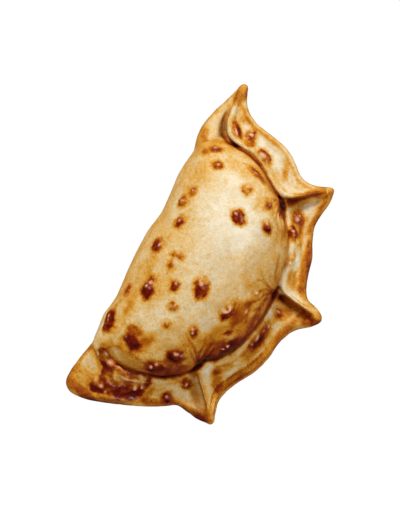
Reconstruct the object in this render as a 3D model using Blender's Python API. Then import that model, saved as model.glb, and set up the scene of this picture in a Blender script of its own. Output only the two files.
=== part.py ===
"""A baked empanada of folded dough, made as one closed solid.

The plan tables below are in millimetres and the scene is in metres. +X runs along the straight side, where the round
of dough was folded in half, towards the long sharp corner. +Y points to that straight side and +Z is up. The origin
is on the table, under the middle of the footprint.

The dough is a stuffed belly with its rim folded back over itself in four straight flaps. Each flap is a strip between
a lip, which leans on the belly, and a fold edge, which is the outline. At a corner the lip of one flap runs out to the
point as a ridge, and the next flap starts low beneath it.
"""

import math

import bmesh
import bpy
import numpy as np
from mathutils import Matrix, Quaternion, Vector
from mathutils.bvhtree import BVHTree

MM = 0.001
UP = Vector((0, 0, 1))

# Belly
CROWN = (3.0, 12.0, 37.0)  # the highest point
CROWN_OVAL = (56.0, 33.0)  # half axes of the oval that the level lines tend to near the crown
GIRTH_HEIGHT_BACK = 11.5  # height of the widest girth along the straight side
GIRTH_HEIGHT_FRONT = 16.5  # and behind the flaps, where the belly hangs over its crevice
WALL_POWER = 2.25  # superellipse power: 2 is round, more is a flatter top on steeper walls
FOOT_INSET = 5.5  # how far the flat underside stops short of the girth
BELLY_OUTLINE = (
    (-61, 36.8), (-56, 39.6), (-50, 40.7), (-43, 41.7), (-35, 40.8), (-25, 41.8), (-12, 43.4), (0, 43.8),
    (10, 42.6), (20, 43.6), (31, 45.0), (41, 44.6), (49, 43.5), (53, 38), (54.3, 29), (54, 20), (50.6, 11),
    (45.5, 2.5), (41.5, -4), (34, -11.2), (25, -16.6), (15, -19.2), (6, -21.2), (-3, -22.3), (-13, -22.2),
    (-24, -19.8), (-33, -15), (-38.5, -8.6), (-43.5, -6.6), (-50, -1.3), (-54.8, 5.5), (-57.8, 13),
    (-59.2, 21), (-59.2, 29),
)  # fmt: skip

# Flaps: each row is a station, (lip x, y, fold edge x, y, lip height, fold height)
LIP_RADIUS = 2.4
FOLD_RADIUS = 3.6
FOLD_EASE = 0.6  # the fold stands out this much from its stations, since the faces between them cut the curve
FLAP_BOTTOM = 0.5  # the flaps clear the table by this much, and the belly carries the weight
FLAP_ROOT = 5.0  # how far a flap's root reaches in under the belly
ROOT_LEAST = 2.6  # and under its neighbour at a point
ROOT_HEIGHT = 4.5
VALLEY_DEPTH = 0.9  # the dip between a lip and its fold edge
FLAPS = {
    "end_flap": (
        (80.4, 39.7, 81.6, 38.5, 9.5, 8.0),
        (70.5, 39.8, 74.2, 34.2, 12.5, 9.0),
        (63.3, 38.1, 70.9, 30.3, 14.0, 9.5),
        (57.6, 34.8, 68.9, 25.5, 15.2, 9.5),
        (54.8, 26.0, 67.8, 16.6, 16.0, 9.5),
        (52.6, 14.8, 65.8, 7.2, 16.2, 9.5),
        (47.8, 6.4, 61.9, 0.5, 16.6, 9.5),
        (45.2, -1.0, 58.4, -4.2, 17.2, 9.5),
        (46.8, -6.2, 57.4, -8.4, 16.6, 9.5),
        (52.4, -12.8, 58.2, -13.4, 14.0, 9.5),
        (58.2, -18.8, 60.8, -18.6, 11.0, 9.0),
    ),
    "right_flap": (
        (58.6, -20.2, 60.2, -21.4, 8.6, 9.2),
        (53.0, -14.6, 54.5, -22.2, 6.4, 9.6),
        (47.5, -8.4, 47.5, -21.6, 6.6, 9.6),
        (42.6, -6.0, 41.5, -21.8, 9.6, 9.6),
        (37.2, -9.8, 35.8, -24.1, 13.2, 9.6),
        (29.8, -15.0, 28.6, -28.2, 15.0, 9.6),
        (20.0, -19.0, 20.4, -30.8, 15.4, 9.6),
        (13.0, -20.2, 14.2, -33.4, 16.0, 9.6),
        (8.6, -22.4, 11.0, -36.0, 17.0, 9.6),
        (6.9, -30.0, 9.9, -39.6, 15.4, 9.6),
        (6.2, -38.0, 9.0, -43.0, 13.2, 9.4),
        (5.6, -44.4, 7.2, -46.2, 10.8, 9.0),
    ),
    "front_flap": (
        (4.4, -44.8, 3.8, -46.4, 8.6, 9.2),
        (5.2, -38.0, 0.0, -43.2, 6.4, 9.6),
        (5.8, -30.0, -4.0, -39.0, 6.6, 9.6),
        (3.6, -23.8, -8.5, -36.4, 9.8, 9.6),
        (-4.0, -23.2, -14.0, -35.1, 13.8, 9.6),
        (-14.0, -22.9, -22.5, -34.5, 15.0, 9.6),
        (-24.0, -20.7, -30.5, -32.3, 15.2, 9.6),
        (-33.0, -16.4, -38.0, -28.6, 15.8, 9.6),
        (-38.2, -10.6, -44.5, -25.8, 16.8, 9.6),
        (-42.2, -8.4, -49.5, -24.8, 17.0, 9.6),
        (-47.6, -12.6, -53.4, -25.3, 15.2, 9.4),
        (-54.0, -19.4, -57.4, -26.6, 13.0, 9.2),
        (-59.6, -25.2, -60.8, -27.2, 10.8, 8.8),
    ),
    "left_flap": (
        (-60.4, -25.2, -62.2, -26.6, 8.4, 9.0),
        (-56.0, -20.8, -62.9, -21.2, 6.4, 9.4),
        (-50.6, -14.6, -62.4, -14.5, 6.6, 9.6),
        (-46.8, -9.0, -62.4, -9.2, 9.8, 9.6),
        (-49.6, -4.2, -65.3, -5.2, 13.4, 9.8),
        (-54.2, 2.0, -69.6, 1.6, 15.2, 10.0),
        (-57.4, 9.4, -73.4, 9.0, 16.0, 10.2),
        (-59.6, 17.2, -76.8, 16.6, 17.4, 10.6),
        (-60.2, 24.0, -80.0, 24.0, 18.4, 11.0),
        (-58.4, 31.0, -82.0, 31.0, 17.4, 10.8),
        (-57.6, 33.8, -82.2, 36.8, 17.2, 10.6),
        (-56.6, 35.0, -79.4, 40.6, 17.0, 10.4),
        (-55.4, 35.6, -73.5, 41.4, 16.8, 10.4),
        (-53.4, 35.6, -66.0, 40.7, 16.8, 10.6),
        (-50.6, 35.0, -59.0, 39.6, 17.0, 10.8),
        (-46.0, 32.0, -51.0, 37.6, 17.0, 10.8),
    ),
    "corner_layer": (
        (80.8, 39.6, 81.6, 40.4, 7.6, 8.0),
        (71.0, 37.0, 72.0, 43.0, 7.6, 9.2),
        (62.0, 31.0, 63.5, 45.4, 8.0, 10.4),
        (54.0, 27.0, 55.5, 46.7, 12.0, 12.5),
        (48.0, 25.0, 49.0, 45.9, 17.0, 14.5),
        (41.0, 23.0, 42.0, 43.4, 20.0, 14.0),
        (33.0, 21.0, 34.0, 39.0, 18.0, 12.0),
    ),
}

# Pinched points, and the dough squeezed out low under the ridges behind them: (x, y, length, width, turn, top height)
PINCHES = {
    "point_1": (78.1, 39.3, 9, 5.2, 0, 10.2),
    "point_2": (57.8, -18.4, 9, 5.2, -40, 12),
    "point_3": (5.5, -42.8, 9, 5.2, -92, 12),
    "point_4": (-59.2, -24.6, 9, 5.2, 45, 12),
    "web_2": (51.5, -12, 26, 9, -46, 6.4),
    "web_3": (5.6, -33, 26, 9, -90, 6.4),
    "web_4": (-51, -17, 28, 9, 45, 6.4),
}

# Blisters raised by the oven: (x, y, length, width, turn in degrees, height)
BLISTER_SPREAD = 1.16  # the whole ball is this much wider than the cap that shows
BLISTERS = (
    (-69.0, 32.4, 21.0, 13.0, 6, 1.8), (27.4, 10.8, 8.0, 5.6, 68, 1.3), (-10.0, 9.4, 8.6, 7.2, 20, 1.4), (-22.6, 30.1, 9.0, 5.4, 10, 1.4),
    (-43.0, 38.2, 10.0, 4.6, 12, 1.2), (-46.4, 23.6, 9.4, 8.4, 60, 1.3), (-41.6, 3.2, 7.6, 6.0, 80, 1.5),
    (-28.4, 2.0, 4.2, 3.6, 30, 1.0), (-15.0, 19.8, 4.6, 3.8, 0, 1.0), (-23.2, 16.0, 4.8, 4.2, 0, 0.8),
    (-32.2, 14.0, 3.2, 3.0, 0, 0.8), (-4.6, 26.0, 6.2, 4.4, 20, 0.9), (-3.0, 35.8, 5.6, 3.6, 150, 1.0),
    (-27.0, 37.2, 5.0, 3.4, 0, 0.7), (11.4, 33.0, 5.0, 3.6, 170, 0.9), (19.8, 36.6, 4.8, 3.4, 0, 0.9),
    (26.6, 34.8, 3.4, 3.0, 0, 0.8), (42.8, 31.4, 5.0, 3.6, 140, 0.9), (48.6, 35.4, 5.8, 3.4, 125, 1.0),
    (39.8, 14.4, 5.0, 4.4, 0, 0.7), (38.6, 2.0, 3.2, 2.8, 0, 0.9), (29.6, -3.0, 5.6, 3.8, 50, 1.1),
    (-12.8, -6.6, 7.6, 4.2, 155, 1.3), (1.2, -13.9, 2.4, 2.2, 0, 0.8), (-27.8, -14.2, 4.2, 3.6, 0, 1.1),
    (-52.8, 10.6, 3.6, 3.2, 0, 1.1), (-50.2, 8.8, 3.2, 2.8, 0, 1.1), (61.4, 33.2, 6.4, 3.0, 50, 0.9),
    (62.6, 25.0, 3.6, 3.4, 0, 1.0), (57.3, 14.8, 6.6, 4.6, 65, 1.2), (40.6, -13.2, 4.8, 3.8, 0, 1.0),
    (33.4, -15.0, 5.4, 3.8, 30, 1.1), (23.8, -20.6, 3.0, 2.8, 0, 0.8), (0.4, -28.0, 5.2, 3.2, 70, 0.9),
    (-8.4, -26.0, 4.2, 3.2, 0, 1.1), (-16.2, -25.4, 6.4, 3.6, 10, 1.2), (-62.0, -3.6, 4.2, 3.6, 40, 1.0),
    (-51.6, -8.2, 4.2, 3.6, 80, 0.9), (-65.0, 12.0, 4.4, 3.4, 0, 1.2), (-72.4, 25.4, 4.6, 3.4, 60, 1.2),
    (-73.8, 22.2, 2.6, 2.4, 0, 1.0),
)  # fmt: skip

BELLY_SIDES = 80
BELLY_RINGS = 11
FLAP_STATIONS_PER_MM = 0.27
UNION_SOLVER = "EXACT"
SHARP_ANGLE = 28
DOUGH_COLOUR = (0.71, 0.44, 0.17, 1.0)
DOUGH_ROUGHNESS = 0.48


def clear_scene():
    for obj in list(bpy.data.objects):
        bpy.data.objects.remove(obj)


def spline(rows, count, closed=False, measure=2):
    """A smooth curve through the rows, resampled to count points evenly along its first `measure` columns."""
    knots = np.array(rows, float)
    if closed:
        knots = np.vstack([knots[-1:], knots, knots[:2]])
    else:
        knots = np.vstack([2 * knots[0] - knots[1], knots, 2 * knots[-1] - knots[-2]])
    dense = []
    steps = np.linspace(0, 1, 24, endpoint=False)[:, None]
    for before, start, end, after in zip(knots[:-3], knots[1:-2], knots[2:-1], knots[3:]):
        gaps = [math.dist(a[:measure], b[:measure]) ** 0.5 for a, b in ((before, start), (start, end), (end, after))]
        leave = (start - before) / gaps[0] - (end - before) / (gaps[0] + gaps[1]) + (end - start) / gaps[1]
        arrive = (end - start) / gaps[1] - (after - start) / (gaps[1] + gaps[2]) + (after - end) / gaps[2]
        leave, arrive = leave * gaps[1], arrive * gaps[1]
        square, cube = steps**2, steps**3
        dense.append(
            (2 * cube - 3 * square + 1) * start
            + (cube - 2 * square + steps) * leave
            + (3 * square - 2 * cube) * end
            + (cube - square) * arrive
        )
    dense = np.vstack([*dense, knots[-2][None]])
    run = np.concatenate([[0], np.cumsum(np.linalg.norm(np.diff(dense[:, :measure], axis=0), axis=1))])
    at = np.linspace(0, run[-1], count, endpoint=not closed)
    return np.stack([np.interp(at, run, column) for column in dense.T], axis=1)


def loft(name, rings):
    """A closed mesh through equal rings of points in millimetres, with a flat cap on the first and last."""
    shape = bmesh.new()
    rows = [[shape.verts.new(Vector(point) * MM) for point in ring] for ring in rings]
    for lower, upper in zip(rows, rows[1:]):
        for i in range(len(lower)):
            j = (i + 1) % len(lower)
            shape.faces.new((lower[i], lower[j], upper[j], upper[i]))
    shape.faces.new(rows[0])
    shape.faces.new(rows[-1])
    bmesh.ops.recalc_face_normals(shape, faces=shape.faces)
    return to_object(name, shape)


def to_object(name, shape):
    mesh = bpy.data.meshes.new(name)
    shape.to_mesh(mesh)
    shape.free()
    obj = bpy.data.objects.new(name, mesh)
    bpy.context.scene.collection.objects.link(obj)
    return obj


def belly():
    """A stuffed dome: a superellipse from the crown out to the girth, then in to a flat foot.

    Its level lines pass from an oval near the crown to the outline at the girth."""
    edge = spline(BELLY_OUTLINE, BELLY_SIDES, closed=True)
    middle = np.array(CROWN[:2])
    reach = np.linalg.norm(edge - middle, axis=1)
    spoke = (edge - middle) / reach[:, None]
    oval = 1 / np.hypot(spoke[:, 0] / CROWN_OVAL[0], spoke[:, 1] / CROWN_OVAL[1])
    back = 1 / (1 + np.exp(-(edge[:, 1] - 26) / 4))
    girth = GIRTH_HEIGHT_FRONT + (GIRTH_HEIGHT_BACK - GIRTH_HEIGHT_FRONT) * back
    rings = []
    for step in (0.4, *range(1, BELLY_RINGS + 1)):
        angle = math.pi / 2 * step / BELLY_RINGS
        out = math.sin(angle) ** (2 / WALL_POWER)
        up = math.cos(angle) ** (2 / WALL_POWER) if step < BELLY_RINGS else 0.0
        radius = out * (oval + (reach - oval) * out**2)
        rings.append(np.column_stack([middle + spoke * radius[:, None], girth + (CROWN[2] - girth) * up]))
    for angle in (30, 60, 90):
        radius = reach - FOOT_INSET * (1 - math.cos(math.radians(angle)))
        level = girth * (1 - math.sin(math.radians(angle)))
        rings.append(np.column_stack([middle + spoke * radius[:, None], level]))
    return loft("belly", rings)


def flap_section(lip, fold, lip_height, fold_height):
    """One cross-section of a flap, from its root under the belly round the lip, over the top and round the fold."""
    width = math.dist(lip, fold)
    outward = (fold - lip) / width
    width += FOLD_EASE
    lip_round = min(LIP_RADIUS, 0.32 * width, 0.45 * (lip_height - FLAP_BOTTOM))
    fold_round = min(FOLD_RADIUS, 0.45 * width)
    half_fold = (fold_height - FLAP_BOTTOM) / 2
    root = max(ROOT_LEAST, min(FLAP_ROOT, 0.6 * width))
    profile = [(-root, FLAP_BOTTOM + 0.1), (-root, min(ROOT_HEIGHT, 0.5 * lip_height))]
    for angle in (235, 205, 178, 150, 120, 90):
        turn = math.radians(angle)
        profile.append((lip_round * (1 + math.cos(turn)), lip_height - lip_round * (1 - math.sin(turn))))
    for share in (0.25, 0.5, 0.75):
        across = lip_round + (width - lip_round - fold_round) * share
        dip = VALLEY_DEPTH * min(1, width / 10) * math.sin(math.pi * share)
        profile.append((across, lip_height + (fold_height - lip_height) * share**0.8 - dip))
    for angle in (90, 55, 25, -5, -40, -90):
        turn = math.radians(angle)
        profile.append(
            (width - fold_round * (1 - math.cos(turn)), FLAP_BOTTOM + half_fold * (1 + math.sin(turn)))
        )
    return [(lip[0] + outward[0] * a, lip[1] + outward[1] * a, z) for a, z in profile]


def flap(name, stations):
    length = sum(math.dist(a[:4], b[:4]) for a, b in zip(stations, stations[1:]))
    rows = spline(stations, max(12, round(length * FLAP_STATIONS_PER_MM)), measure=4)
    return loft(name, [flap_section(row[:2], row[2:4], row[4], row[5]) for row in rows])


def ellipsoid(name, centre, axes, lean=None):
    """A stretched ball, with its centre and half axes in millimetres, and its rotation as a quaternion."""
    shape = bmesh.new()
    bmesh.ops.create_icosphere(shape, subdivisions=2, radius=1.0)
    place = Matrix.LocRotScale(Vector(centre) * MM, lean, Vector(axes) * MM)
    bmesh.ops.transform(shape, matrix=place, verts=shape.verts)
    return to_object(name, shape)


def pinch(name, x, y, length, width, turn, top):
    axes = (length / 2, width / 2, (top - FLAP_BOTTOM) / 2)
    return ellipsoid(name, (x, y, (top + FLAP_BOTTOM) / 2), axes, Quaternion(UP, math.radians(turn)))


def blisters(pieces):
    """Low domes on the dough, each the top of a ball sunk by its rise where a line straight down meets the dough."""
    corners, faces = [], []
    for piece in pieces:
        base = len(corners)
        corners += [vertex.co for vertex in piece.data.vertices]
        faces += [[base + i for i in polygon.vertices] for polygon in piece.data.polygons]
    skin = BVHTree.FromPolygons(corners, faces)
    domes = []
    for i, (x, y, length, width, turn, height) in enumerate(BLISTERS):
        spot, normal, _, _ = skin.ray_cast(Vector((x * MM, y * MM, 1)), Vector((0, 0, -1)))
        lean = UP.rotation_difference(normal) @ Quaternion(UP, math.radians(turn))
        axes = (BLISTER_SPREAD * length / 2, BLISTER_SPREAD * width / 2, 2 * height)
        domes.append(ellipsoid(f"blister_{i}", spot / MM - normal * height, axes, lean))
    return domes


def fused(name, pieces):
    """One solid from overlapping pieces, which are removed, in a collection of its own name."""
    first, *others = pieces
    joined = bpy.data.collections.new(f"{name}_pieces")
    for piece in others:
        joined.objects.link(piece)
    union = first.modifiers.new("union", "BOOLEAN")
    union.operation = "UNION"
    union.operand_type = "COLLECTION"
    union.collection = joined
    union.solver = UNION_SOLVER
    graph = bpy.context.evaluated_depsgraph_get()
    mesh = bpy.data.meshes.new_from_object(first.evaluated_get(graph))
    for piece in pieces:
        bpy.data.objects.remove(piece)
    bpy.data.collections.remove(joined)
    mesh.name = name
    obj = bpy.data.objects.new(name, mesh)
    home = bpy.data.collections.new(name)
    home.objects.link(obj)
    bpy.context.scene.collection.children.link(home)
    return obj


def centre_on_origin(obj):
    """Moves the mesh so that its box stands centred on the origin."""
    corners = np.array([vertex.co for vertex in obj.data.vertices])
    low, high = corners.min(axis=0), corners.max(axis=0)
    obj.data.transform(Matrix.Translation((-(low[0] + high[0]) / 2, -(low[1] + high[1]) / 2, -low[2])))


def baked_dough():
    material = bpy.data.materials.new("baked_dough")
    material.use_nodes = True
    surface = material.node_tree.nodes["Principled BSDF"]
    surface.inputs["Base Color"].default_value = DOUGH_COLOUR
    surface.inputs["Roughness"].default_value = DOUGH_ROUGHNESS
    surface.inputs["Metallic"].default_value = 0.0
    return material


def main():
    clear_scene()
    pieces = [belly()]
    pieces += [flap(name, stations) for name, stations in FLAPS.items()]
    pieces += [pinch(name, *row) for name, row in PINCHES.items()]
    empanada = fused("empanada", pieces + blisters(pieces))
    centre_on_origin(empanada)
    empanada.data.materials.clear()
    empanada.data.materials.append(baked_dough())
    empanada.data.shade_smooth()
    empanada.data.set_sharp_from_angle(angle=math.radians(SHARP_ANGLE))


main()
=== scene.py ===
import math

import bpy
import numpy as np
from mathutils import Matrix, Vector, noise
from mathutils.bvhtree import BVHTree
from mathutils.kdtree import KDTree


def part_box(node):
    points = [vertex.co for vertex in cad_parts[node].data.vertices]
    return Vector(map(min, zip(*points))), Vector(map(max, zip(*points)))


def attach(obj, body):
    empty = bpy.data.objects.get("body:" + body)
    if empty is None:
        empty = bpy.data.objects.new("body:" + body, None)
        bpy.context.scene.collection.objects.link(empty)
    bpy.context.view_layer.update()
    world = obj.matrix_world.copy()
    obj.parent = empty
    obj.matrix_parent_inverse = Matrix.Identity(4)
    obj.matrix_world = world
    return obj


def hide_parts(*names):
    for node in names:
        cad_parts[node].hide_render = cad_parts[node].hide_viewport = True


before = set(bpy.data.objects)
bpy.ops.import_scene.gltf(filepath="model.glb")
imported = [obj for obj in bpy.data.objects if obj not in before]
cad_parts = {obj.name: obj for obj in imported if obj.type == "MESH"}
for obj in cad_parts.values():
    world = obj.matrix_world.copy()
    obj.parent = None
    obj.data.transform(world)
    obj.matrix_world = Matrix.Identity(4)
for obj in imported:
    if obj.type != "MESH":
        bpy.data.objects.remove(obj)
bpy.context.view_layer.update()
solidLow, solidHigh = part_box("empanada")

# Plan values are in millimetres: x along the straight side towards the sharp corner,
# y towards the straight side. The mesh is worked in millimetres too, and set on its
# place in metres at the end.

belly = {
    "crown": (3.0, 12.0, 37.0),
    "crownOval": (56.0, 33.0),
    "girthBack": 11.5,
    "girthFront": 16.5,
    "wallPower": 2.25,
    "footInset": 5.5,
    "sides": 320,
    "rings": 64,
    "outline": (
        (-61, 36.8), (-56, 39.6), (-50, 40.7), (-43, 41.7), (-35, 40.8), (-25, 41.8),
        (-12, 43.4), (0, 43.8), (10, 42.6), (20, 43.6), (31, 45.0), (41, 44.6), (49, 43.5),
        (53, 38), (54.3, 29), (54, 20), (50.6, 11), (45.5, 2.5), (41.5, -4), (34, -11.2),
        (25, -16.6), (15, -19.2), (6, -21.2), (-3, -22.3), (-13, -22.2), (-24, -19.8),
        (-33, -15), (-38.5, -8.6), (-43.5, -6.6), (-50, -1.3), (-54.8, 5.5), (-57.8, 13),
        (-59.2, 21), (-59.2, 29),
    ),
}

# Flap stations: lip x, y, fold edge x, y, lip height, fold height
flaps = {
    "lipRadius": 2.4,
    "foldRadius": 3.6,
    "foldEase": 0.45,
    "bottom": 0.5,
    "root": 5.0,
    "rootLeast": 2.6,
    "rootHeight": 4.5,
    "valley": 0.8,
    "rowsPerMm": 0.9,
    # toasting of each flap: all over, towards the rim
    "toasted": ((0.13, 0.04), (0.12, 0.20), (0.25, 0.10), (0.20, 0.10), (0.15, 0.10)),
    # rolled edge and channel: in from the fold, width, rise
    "rolls": ((2.4, 1.4, 0.45), (5.6, 1.4, -0.55)),
    # fine line: in from the lip, width, rise
    "lipLine": (4.6, 0.7, -0.22),
    # the front flap's doubled rim: in from the fold, width, brown
    "rimLines": ((4.3, 0.55, 0.34), (1.5, 0.5, 0.30)),
    "rimLineDepth": 0.3,
    "rimLinesFrom": (24, 34),  # along the flap, mm
    "stations": {
        "endFlap": (
            (80.4, 39.7, 81.6, 38.5, 9.5, 8.0),
            (70.5, 39.8, 74.2, 34.2, 12.5, 9.0),
            (63.3, 38.1, 70.9, 30.3, 14.0, 9.5),
            (57.6, 34.8, 68.9, 25.5, 15.2, 9.5),
            (54.8, 26.0, 67.8, 16.6, 16.0, 9.5),
            (52.6, 14.8, 65.8, 7.2, 16.2, 9.5),
            (47.8, 6.4, 61.9, 0.5, 16.6, 9.5),
            (45.2, -1.0, 58.4, -4.2, 17.2, 9.5),
            (46.8, -6.2, 57.4, -8.4, 16.6, 9.5),
            (52.4, -12.8, 58.2, -13.4, 14.0, 9.5),
            (58.2, -18.8, 60.8, -18.6, 11.0, 9.0),
        ),
        "rightFlap": (
            (58.6, -20.2, 60.2, -21.4, 8.6, 9.2),
            (53.0, -14.6, 54.5, -22.2, 6.4, 9.6),
            (47.5, -8.4, 47.5, -21.6, 6.6, 9.6),
            (42.6, -6.0, 41.5, -21.8, 9.6, 9.6),
            (37.2, -9.8, 35.8, -24.1, 13.2, 9.6),
            (29.8, -15.0, 28.6, -28.2, 15.0, 9.6),
            (20.0, -19.0, 20.4, -30.8, 15.4, 9.6),
            (13.0, -20.2, 14.2, -33.4, 16.0, 9.6),
            (8.6, -22.4, 11.0, -36.0, 17.0, 9.6),
            (6.9, -30.0, 9.9, -39.6, 15.4, 9.6),
            (6.2, -38.0, 9.0, -43.0, 13.2, 9.4),
            (5.6, -44.4, 7.2, -46.2, 10.8, 9.0),
        ),
        "frontFlap": (
            (4.4, -44.8, 3.8, -46.4, 8.6, 9.2),
            (5.2, -38.0, 0.0, -43.2, 6.4, 9.6),
            (5.8, -30.0, -4.0, -39.0, 6.6, 9.6),
            (3.6, -23.8, -8.5, -36.4, 9.8, 9.6),
            (-4.0, -23.2, -14.0, -35.1, 13.8, 9.6),
            (-14.0, -22.7, -22.5, -34.5, 15.0, 9.6),
            (-24.0, -20.2, -30.5, -32.3, 15.2, 9.6),
            (-33.0, -15.9, -38.0, -28.6, 15.8, 9.6),
            (-37.6, -9.8, -44.5, -25.8, 16.8, 9.6),
            (-42.0, -7.4, -49.5, -24.8, 17.0, 9.6),
            (-47.4, -11.9, -53.4, -25.3, 15.2, 9.4),
            (-54.0, -19.4, -57.4, -26.6, 13.0, 9.2),
            (-59.6, -25.2, -60.8, -27.2, 10.8, 8.8),
        ),
        "leftFlap": (
            (-60.4, -25.2, -62.2, -26.6, 8.4, 9.0),
            (-56.0, -20.8, -62.9, -21.2, 6.4, 9.4),
            (-50.6, -14.6, -62.4, -14.5, 6.6, 9.6),
            (-46.8, -9.0, -62.4, -9.2, 9.8, 9.6),
            (-49.6, -4.2, -65.3, -5.2, 13.4, 9.8),
            (-54.2, 2.0, -69.6, 1.6, 15.2, 10.0),
            (-57.4, 9.4, -73.4, 9.0, 16.0, 10.2),
            (-59.6, 17.2, -76.8, 16.6, 17.4, 10.6),
            (-60.2, 24.0, -80.0, 24.0, 18.4, 11.0),
            (-58.4, 31.0, -82.0, 31.0, 17.4, 10.8),
            (-57.6, 33.8, -82.2, 36.8, 17.2, 10.6),
            (-56.6, 35.0, -79.4, 40.6, 17.0, 10.4),
            (-55.4, 35.6, -73.5, 41.4, 16.8, 10.4),
            (-53.4, 35.6, -66.0, 40.7, 16.8, 10.6),
            (-50.6, 35.0, -59.0, 39.6, 17.0, 10.8),
            (-46.0, 32.0, -51.0, 37.6, 17.0, 10.8),
        ),
        "cornerLayer": (
            (80.8, 39.6, 81.6, 40.4, 7.6, 8.0),
            (71.0, 37.0, 72.0, 43.0, 7.6, 9.2),
            (62.0, 31.0, 63.5, 45.4, 8.0, 10.4),
            (54.0, 27.0, 55.5, 46.7, 12.0, 12.5),
            (48.0, 25.0, 49.0, 45.9, 17.0, 14.5),
            (41.0, 23.0, 42.0, 43.4, 20.0, 14.0),
            (33.0, 21.0, 34.0, 39.0, 18.0, 12.0),
        ),
    },
}

# Pinched points and the dough squeezed out low under the ridges:
# x, y, length, width, turn, top height
pinches = (
    (78.1, 39.3, 9, 5.2, 0, 10.2),
    (57.8, -18.4, 9, 5.2, -40, 11.6),
    (5.5, -42.8, 9, 5.2, -92, 11.6),
    (-59.2, -24.6, 9, 5.2, 45, 11.6),
    (51.5, -12, 26, 9, -46, 6.4),
    (5.6, -33, 26, 9, -90, 6.4),
    (-51, -17, 28, 9, 45, 6.4),
    (-43.6, -7.4, 9, 5.0, -30, 15.0),
    (-40.8, -8.8, 7, 4.6, -34, 14.8),
    (-37.4, -10.6, 10, 5.0, -52, 14.0),
    (-31.6, -16.0, 11, 5.0, -38, 13.6),
    (-22.0, -20.6, 14, 4.6, -14, 13.6),
    (-6.0, -22.8, 16, 4.6, 0, 13.6),
    (4.8, -22.0, 9, 4.8, 10, 15.2),
    (40.6, -7.0, 12, 4.6, 42, 12.6),
    (-51.6, 0.6, 12, 4.6, 130, 13.6),
    (-47.0, -5.0, 9, 4.6, 138, 14.0),
    (-56.6, 8.6, 12, 4.6, 112, 14.0),
    (54.2, 21.0, 18, 4.4, 86, 12.4),
    (44.0, -3.6, 9, 6.0, 50, 14.0),
)

skin = {
    "voxel": 0.61,
    "smoothRounds": 7,
    "fillRounds": 14,  # how far sharp hollows between the layers close up
    "swell": 0.55,  # broad unevenness of the belly, mm
    "swellSize": 17.0,
    "ripple": 0.20,
    "rippleSize": 4.5,
    "warp": 0.85,  # how ragged the edges of spots are, mm
    "warpSize": 3.6,
    # wavering of edges, fine and broad, and lumps: size, seed, octaves
    "wobbles": ((3.4, 11.0, 2), (9.0, 4.0, 2), (1.9, 21.0, 2)),
    "bellyToast": 0.19,
    # toasting and painted shade on steep walls
    "steepToastAndShade": (0.15, 0.11),  # on steep walls: everywhere, and more on flaps
}

# Seams that close up more: x, y, length, width, turn, rounds
mended = (
    (52, 39, 20, 22, 0, 90),
    (-56, 38, 14, 12, 0, 60),
    (24, -16, 40, 8, 24, 34),
    (43, -4.5, 12, 10, 40, 70),
    (3, -22, 16, 7, 4, 60),
    (6, -21.8, 8, 6, 10, 110),
    (-16, -21, 42, 9, -10, 34),
    (-34, -14, 22, 9, -42, 60),
    (-43, -7.5, 12, 9, -20, 70),
    (-51, 1, 9, 24, 36, 50),
    (54, 26, 6, 26, 4, 40),
)

blister = {
    "dome": (0.1, 1.15),  # full height up to here and none from there, 1 at the spot's edge
    "lumpy": 0.6,
    "moat": (1.2, 0.18, 0.15),  # where, width, depth
    "halo": (-2.2, -0.1),  # brown begins and is full, mm in from the edge
    "core": (-0.4, 0.4),
    "haloShare": 0.36,
    "pale": (0.1, 0.75),
    "shiny": (0.6, 1.15),
}

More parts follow.
